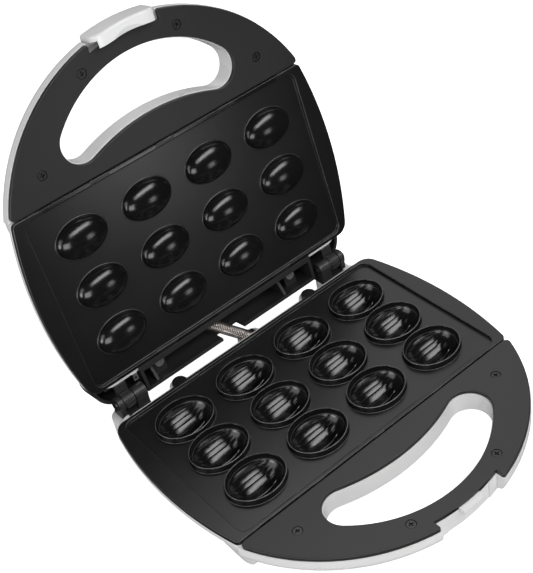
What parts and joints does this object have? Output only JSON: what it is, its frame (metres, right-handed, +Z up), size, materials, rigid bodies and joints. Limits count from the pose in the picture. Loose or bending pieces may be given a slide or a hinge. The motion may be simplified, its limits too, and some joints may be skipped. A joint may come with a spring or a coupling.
{
  "type": "countertop nut biscuit maker with hinged lid",
  "caption": "Electric countertop cooker for nut-shaped biscuits: hinged lid with domed plate over a base with cup-shaped moulds, looped handles and a front latch.",
  "frame": {"origin": "centre of the bounding box on the counter, under the feet", "axes": "+Z up, +Y from the handle loops towards the hinge, +X to the right seen from the handle side, along the hinge axis"},
  "size_m": [0.2312, 0.278, 0.2614],
  "materials": {
    "cover_white": "glossy white moulding",
    "frame_black": "satin black moulding",
    "plate_black": "smooth non-stick coating, semi-gloss",
    "hinge_black": "black enamel",
    "screw_dark": "black oxide",
    "steel": "plain drawn steel",
    "coil_steel": "bright wound steel",
    "reflector_sheet": "bright rolled sheet",
    "foot_rubber": "matte rubber",
    "lens_red": "clear red",
    "lens_green": "clear green",
    "lamp_glass": "clear glass",
    "part_grey": "plain moulding",
    "wire_insulation": "woven glass sleeve",
    "thermostat_case": "stamped"
  },
  "bodies": {
    "base": {"lower_cover": "cover_white", "lower_handle_frame": "frame_black", "lower_plate": "plate_black", "lower_frame_screws": "screw_dark", "lower_heating_element": "steel", "lower_reflector": "reflector_sheet", "lower_reflector_screws": "steel", "base_screws": "steel", "feet": "foot_rubber", "foot_screws": "steel", "thermostat": "thermostat_case", "thermal_fuse": "wire_insulation", "terminal_block": "part_grey", "lower_wiring": "wire_insulation", "cord_gland": "frame_black", "hinge_bracket_left": "hinge_black", "hinge_bracket_right": "hinge_black", "hinge_pin_left": "screw_dark", "hinge_pin_right": "screw_dark", "conduit_bush_lower": "frame_black", "conduit_coil": "coil_steel", "conduit_wires": "wire_insulation"},
    "lid": {"upper_cover": "cover_white", "upper_handle_frame": "frame_black", "upper_plate": "plate_black", "upper_frame_screws": "screw_dark", "upper_heating_element": "steel", "upper_reflector": "reflector_sheet", "upper_reflector_screws": "steel", "upper_rear_screws": "steel", "earth_tab": "steel", "rear_shroud": "frame_black", "lamp_holder": "part_grey", "power_lamp": "lamp_glass", "ready_lamp": "lamp_glass", "power_lens": "lens_red", "ready_lens": "lens_green", "hinge_knuckle_left": "hinge_black", "hinge_knuckle_right": "hinge_black", "knuckle_screws": "screw_dark", "latch_pin": "steel", "conduit_bush_upper": "frame_black"},
    "latch": {"latch": "cover_white"}
  },
  "joints": [
    {"name": "lid_hinge", "type": "hinge", "parent": "base", "child": "lid", "pos_m": [0, 0.07559, 0.0462], "axis": [1, 0, 0], "range_deg": [0, 102], "deforming": ["conduit_coil", "conduit_wires"]},
    {"name": "latch_hinge", "type": "hinge", "parent": "lid", "child": "latch", "pos_m": [0, 0.12884, 0.25151], "axis": [-1, 0, 0], "range_deg": [0, 15]}
  ]
}
